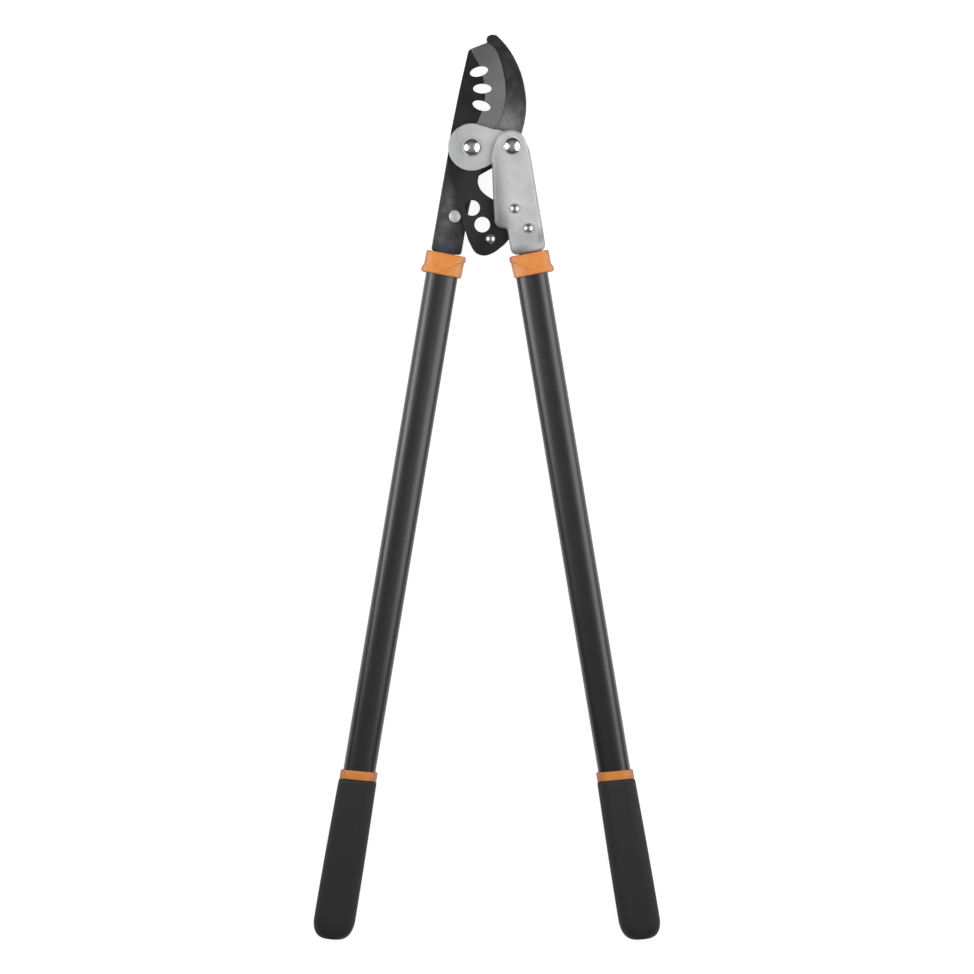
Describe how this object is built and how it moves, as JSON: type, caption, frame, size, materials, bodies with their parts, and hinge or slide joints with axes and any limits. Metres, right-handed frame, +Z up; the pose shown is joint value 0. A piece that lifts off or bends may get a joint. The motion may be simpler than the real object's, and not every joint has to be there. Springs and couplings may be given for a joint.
{
  "type": "lopper",
  "caption": "Two-handed bypass lopper: a curved blade shears past a forged hook, driven by a pivoting arm through a link.",
  "frame": {"origin": "centre of the bounding box in plan, on the surface that the tool lies on", "axes": "+Y from the grips to the jaw, +Z up out of the blade's side, +X towards the hinged arm"},
  "size_m": [0.299, 0.7812, 0.0331],
  "materials": {
    "forging": "dark mottled satin coating on forged steel",
    "blade_coat": "smooth low-friction coating, bare ground steel on the bevel",
    "bright_steel": "satin nickel",
    "rivet_chrome": "polished",
    "tube_black": "gloss powder coat",
    "orange_plastic": "moulded, semi-gloss",
    "grip_rubber": "matt",
    "sleeve_plastic": "as moulded",
    "bush_bronze": "as turned"
  },
  "bodies": {
    "hook_side": {"hook_arm": "forging", "stop_pin": "bright_steel", "pivot_plate": "bright_steel", "main_pivot_bolt": "rivet_chrome", "main_pivot_washer": "bright_steel", "main_pivot_nut": "bright_steel", "arm_pivot_bolt": "rivet_chrome", "arm_pivot_washer": "bright_steel", "arm_pivot_nut": "bright_steel", "pivot_spacer": "bright_steel", "left_collar": "orange_plastic", "left_tube": "tube_black", "left_tang_sleeve": "sleeve_plastic", "left_tube_rivet": "bright_steel", "left_grip_ring": "orange_plastic", "left_grip": "grip_rubber"},
    "blade_side": {"blade": "blade_coat", "blade_bush": "bush_bronze", "tail_rivet": "rivet_chrome"},
    "link": {"link_bar": "bright_steel"},
    "hinged_arm": {"arm_front_plate": "bright_steel", "arm_back_plate": "bright_steel", "link_rivet": "rivet_chrome", "arm_tang_rivet": "rivet_chrome", "link_bush": "bush_bronze", "arm_tang": "forging", "right_collar": "orange_plastic", "right_tube": "tube_black", "right_tang_sleeve": "sleeve_plastic", "right_tube_rivet": "bright_steel", "right_grip_ring": "orange_plastic", "right_grip": "grip_rubber"}
  },
  "joints": [
    {"name": "arm_hinge", "type": "hinge", "parent": "hook_side", "child": "hinged_arm", "pos_m": [0.0219, 0.2941, 0.0135], "axis": [0, 0, 1], "range_deg": [0, 55]},
    {"name": "blade_hinge", "type": "hinge", "parent": "hook_side", "child": "blade_side", "pos_m": [-0.013, 0.2932, 0.0135], "axis": [0, 0, 1], "range_deg": [0, 36.1]},
    {"name": "link_hinge", "type": "hinge", "parent": "blade_side", "child": "link", "pos_m": [0.0034, 0.2141, 0.0135], "axis": [0, 0, 1], "range_deg": [-38, 0]}
  ],
  "couplings": [
    {"joint": "blade_hinge", "follows": "arm_hinge", "ratio": 0.655},
    {"joint": "link_hinge", "follows": "arm_hinge", "ratio": -0.69}
  ]
}
